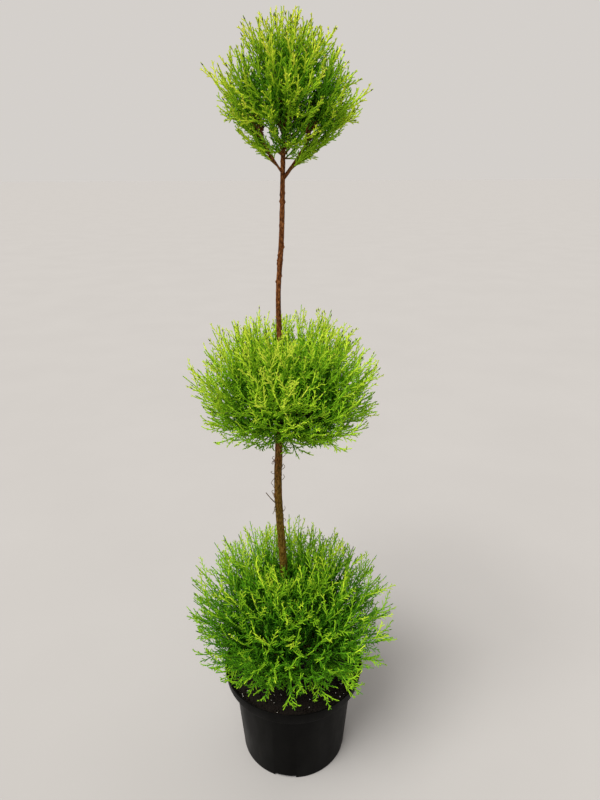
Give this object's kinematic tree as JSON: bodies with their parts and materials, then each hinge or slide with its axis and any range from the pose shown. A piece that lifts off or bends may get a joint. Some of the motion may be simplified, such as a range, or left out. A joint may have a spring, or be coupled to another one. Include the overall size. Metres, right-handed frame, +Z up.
{
  "type": "potted cypress ball topiary",
  "caption": "Tall slender cypress clipped into stacked feathery balls of lime-green foliage along one bare stem, standing in a round black nursery pot of dark peat.",
  "frame": {"origin": "centre of the pot's flat underside", "axes": "+Z up along the pot's axis, -Y towards the front of the plant, +X to the right as seen from the front"},
  "size_m": [0.3148, 0.3095, 1.0132],
  "materials": {
    "pot": "black injection-moulded plastic, slightly satin",
    "soil": "dark crumbly peat",
    "bark": "thin fibrous bark",
    "foliage": "fine soft needle sprays"
  },
  "bodies": {
    "root": {"pot": "pot", "soil": "soil", "trunk": "bark", "low_bough_1": "bark", "low_bough_2": "bark", "low_bough_3": "bark", "low_bough_4": "bark", "low_bough_5": "bark", "low_bough_6": "bark", "mid_bough_1": "bark", "mid_bough_2": "bark", "mid_bough_3": "bark", "mid_bough_4": "bark", "mid_bough_5": "bark", "top_bough_1": "bark", "top_bough_2": "bark", "top_bough_3": "bark", "top_bough_4": "bark", "low_mass_1": "foliage", "low_mass_2": "foliage", "low_mass_3": "foliage", "low_mass_4": "foliage", "low_mass_5": "foliage", "low_mass_6": "foliage", "mid_mass_1": "foliage", "mid_mass_2": "foliage", "mid_mass_3": "foliage", "mid_mass_4": "foliage", "mid_mass_5": "foliage", "top_mass_1": "foliage", "top_mass_2": "foliage", "top_mass_3": "foliage", "top_mass_4": "foliage", "top_mass_leader": "foliage"}
  },
  "joints": []
}
